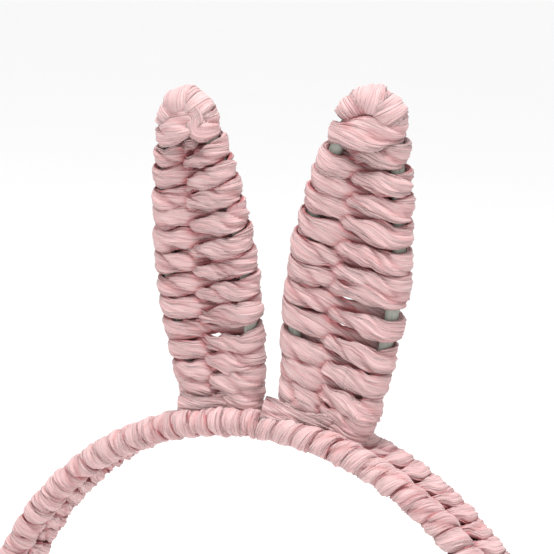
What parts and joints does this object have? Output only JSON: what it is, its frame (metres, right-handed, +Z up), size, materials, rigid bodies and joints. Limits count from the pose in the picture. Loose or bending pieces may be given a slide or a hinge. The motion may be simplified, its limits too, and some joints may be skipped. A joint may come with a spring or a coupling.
{
  "type": "animal ears headband",
  "caption": "Rabbit-ears headband: wire rails over the head and wire ear loops, all bound with twisted paper strand; arms spring, ears tip.",
  "frame": {"origin": "centre of the band's arc, whose inner face is the mount head_seat, midway through the band's width", "axes": "+Z up through the crown, -Y to the wearer's face, +X to the right seen from the front; +Y is the axis of the head-seat arc"},
  "size_m": [0.1508, 0.0199, 0.2126],
  "materials": {
    "raffia": "matte twisted paper strand, finely pleated lengthwise",
    "wire_paper": "matte grey-green paper tape with lengthwise grain",
    "steel_wire": "drawn steel wire"
  },
  "bodies": {
    "crown": {"crown_front_rail_core": "steel_wire", "crown_front_rail_cover": "wire_paper", "crown_rear_rail_core": "steel_wire", "crown_rear_rail_cover": "wire_paper", "crown_winding": "raffia"},
    "left_arm": {"left_arm_rail_loop_core": "steel_wire", "left_arm_rail_loop_cover": "wire_paper", "left_arm_winding": "raffia", "left_arm_tip_wrap": "raffia"},
    "right_arm": {"right_arm_rail_loop_core": "steel_wire", "right_arm_rail_loop_cover": "wire_paper", "right_arm_winding": "raffia", "right_arm_tip_wrap": "raffia"},
    "left_ear": {"left_ear_wire_core": "steel_wire", "left_ear_wire_cover": "wire_paper", "left_ear_base_wrap": "raffia", "left_ear_winding": "raffia", "left_ear_tip_wrap": "raffia", "left_ear_strand_tail": "raffia"},
    "right_ear": {"right_ear_wire_core": "steel_wire", "right_ear_wire_cover": "wire_paper", "right_ear_base_wrap": "raffia", "right_ear_winding": "raffia", "right_ear_tip_wrap": "raffia", "right_ear_strand_tail": "raffia"}
  },
  "joints": [
    {"name": "left_arm_flex", "type": "hinge", "parent": "crown", "child": "left_arm", "pos_m": [-0.05825, 0, 0.04232], "axis": [0, 1, 0], "range_deg": [-5, 12], "stiffness_Nm_per_rad": 1.2},
    {"name": "right_arm_flex", "type": "hinge", "parent": "crown", "child": "right_arm", "pos_m": [0.05825, 0, 0.04232], "axis": [0, -1, 0], "range_deg": [-5, 12], "stiffness_Nm_per_rad": 1.2},
    {"name": "left_ear_tilt", "type": "hinge", "parent": "crown", "child": "left_ear", "pos_m": [-0.0125, 0, 0.07091], "axis": [0.9839, -0.1392, 0.1121], "range_deg": [-28, 22]},
    {"name": "right_ear_tilt", "type": "hinge", "parent": "crown", "child": "right_ear", "pos_m": [0.0125, 0, 0.07091], "axis": [0.9839, 0.1392, -0.1121], "range_deg": [-25, 25]}
  ]
}
